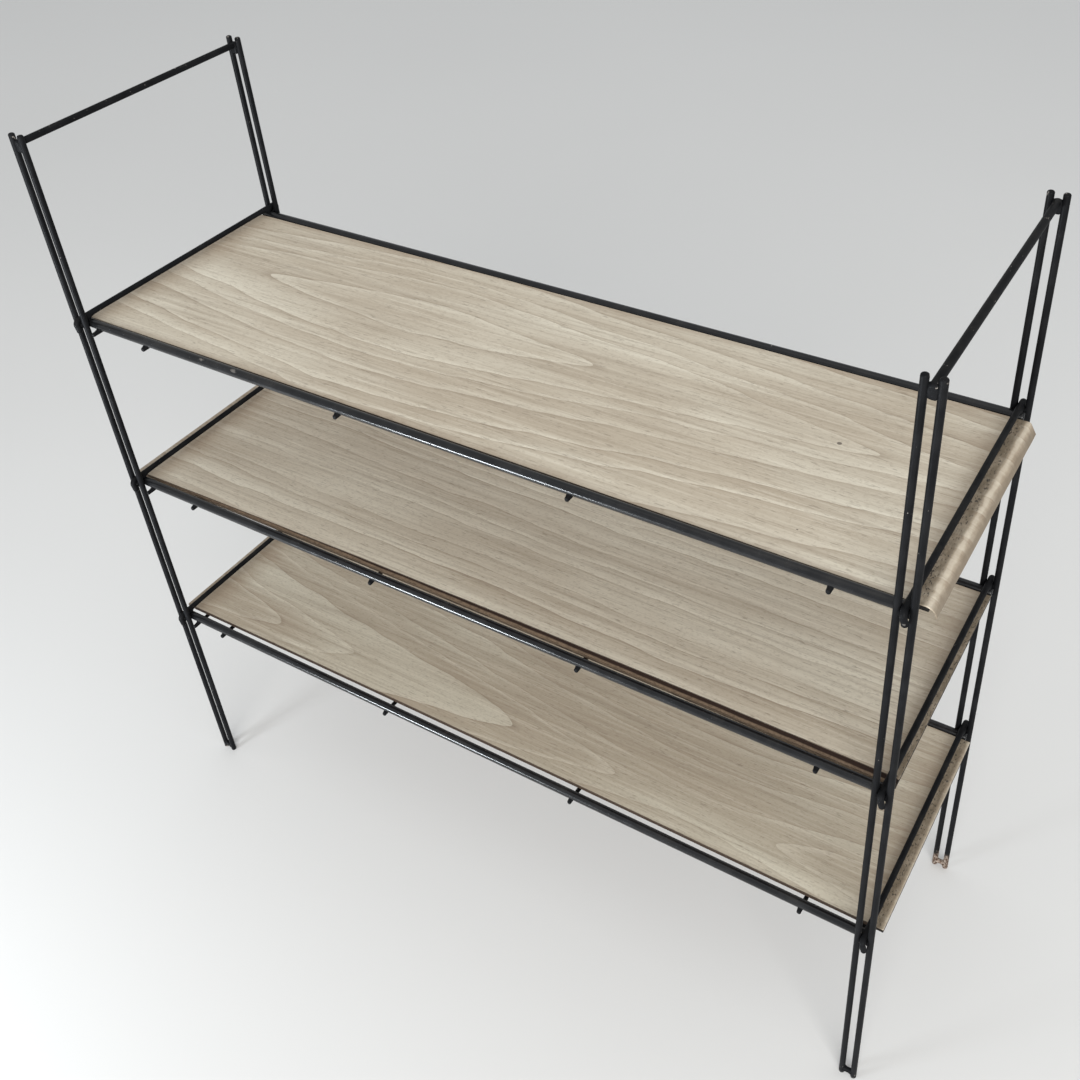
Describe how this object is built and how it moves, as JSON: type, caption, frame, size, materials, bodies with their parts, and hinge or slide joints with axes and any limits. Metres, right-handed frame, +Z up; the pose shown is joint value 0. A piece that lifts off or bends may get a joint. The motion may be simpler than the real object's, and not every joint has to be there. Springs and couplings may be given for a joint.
{
  "type": "wire shelf rack",
  "caption": "Free-standing black wire rack with tiered wood-faced shelves, hooked on rungs between twin-wire legs.",
  "frame": {"origin": "on the floor, at the middle of the footprint", "axes": "+Z up, +X along the shelves towards the curled end of the top panel, +Y towards the back"},
  "size_m": [0.6258, 0.2048, 0.594],
  "materials": {
    "black_wire": "satin black paint on round steel wire, chipped in small spots, worn to bare metal at a foot",
    "wood_faced_board": "matt grey-beige oak-effect covering on hardboard, grain along the shelf, brown edges"
  },
  "bodies": {
    "end_frames": {"left_front_leg_outer_wire": "black_wire", "left_front_leg_inner_wire": "black_wire", "left_front_foot_piece": "black_wire", "left_front_bottom_rung": "black_wire", "left_front_middle_rung": "black_wire", "left_front_top_rung": "black_wire", "left_rear_leg_outer_wire": "black_wire", "left_rear_leg_inner_wire": "black_wire", "left_rear_foot_piece": "black_wire", "left_rear_bottom_rung": "black_wire", "left_rear_middle_rung": "black_wire", "left_rear_top_rung": "black_wire", "left_top_crossbar": "black_wire", "right_front_leg_outer_wire": "black_wire", "right_front_leg_inner_wire": "black_wire", "right_front_foot_piece": "black_wire", "right_front_bottom_rung": "black_wire", "right_front_middle_rung": "black_wire", "right_front_top_rung": "black_wire", "right_rear_leg_outer_wire": "black_wire", "right_rear_leg_inner_wire": "black_wire", "right_rear_foot_piece": "black_wire", "right_rear_bottom_rung": "black_wire", "right_rear_middle_rung": "black_wire", "right_rear_top_rung": "black_wire", "right_top_crossbar": "black_wire"},
    "bottom_shelf": {"bottom_shelf_front_rail": "black_wire", "bottom_shelf_rear_rail": "black_wire", "bottom_shelf_left_end_wire": "black_wire", "bottom_shelf_left_lower_wire": "black_wire", "bottom_shelf_right_end_wire": "black_wire", "bottom_shelf_right_lower_wire": "black_wire", "bottom_shelf_cross_wire_1": "black_wire", "bottom_shelf_cross_wire_2": "black_wire", "bottom_shelf_cross_wire_3": "black_wire", "bottom_shelf_cross_wire_4": "black_wire"},
    "middle_shelf": {"middle_shelf_front_rail": "black_wire", "middle_shelf_rear_rail": "black_wire", "middle_shelf_left_end_wire": "black_wire", "middle_shelf_left_lower_wire": "black_wire", "middle_shelf_right_end_wire": "black_wire", "middle_shelf_right_lower_wire": "black_wire", "middle_shelf_cross_wire_1": "black_wire", "middle_shelf_cross_wire_2": "black_wire", "middle_shelf_cross_wire_3": "black_wire", "middle_shelf_cross_wire_4": "black_wire"},
    "top_shelf": {"top_shelf_front_rail": "black_wire", "top_shelf_rear_rail": "black_wire", "top_shelf_left_end_wire": "black_wire", "top_shelf_left_lower_wire": "black_wire", "top_shelf_right_end_wire": "black_wire", "top_shelf_right_lower_wire": "black_wire", "top_shelf_cross_wire_1": "black_wire", "top_shelf_cross_wire_2": "black_wire", "top_shelf_cross_wire_3": "black_wire", "top_shelf_cross_wire_4": "black_wire"},
    "bottom_panel": {"bottom_shelf_panel": "wood_faced_board"},
    "middle_panel": {"middle_shelf_panel": "wood_faced_board"},
    "top_panel": {"top_shelf_panel": "wood_faced_board"}
  },
  "joints": [
    {"name": "bottom_shelf_lift", "type": "slide", "parent": "end_frames", "child": "bottom_shelf", "axis": [0, 0, 1], "range_m": [0, 0.12]},
    {"name": "middle_shelf_lift", "type": "slide", "parent": "end_frames", "child": "middle_shelf", "axis": [0, 0, 1], "range_m": [0, 0.12]},
    {"name": "top_shelf_lift", "type": "slide", "parent": "end_frames", "child": "top_shelf", "axis": [0, 0, 1], "range_m": [0, 0.12]},
    {"name": "bottom_panel_slide", "type": "slide", "parent": "bottom_shelf", "child": "bottom_panel", "axis": [1, 0, 0], "range_m": [-0.28, 0.28]},
    {"name": "middle_panel_slide", "type": "slide", "parent": "middle_shelf", "child": "middle_panel", "axis": [1, 0, 0], "range_m": [-0.28, 0.28]},
    {"name": "top_panel_slide", "type": "slide", "parent": "top_shelf", "child": "top_panel", "axis": [1, 0, 0], "range_m": [-0.012, 0.28]}
  ]
}
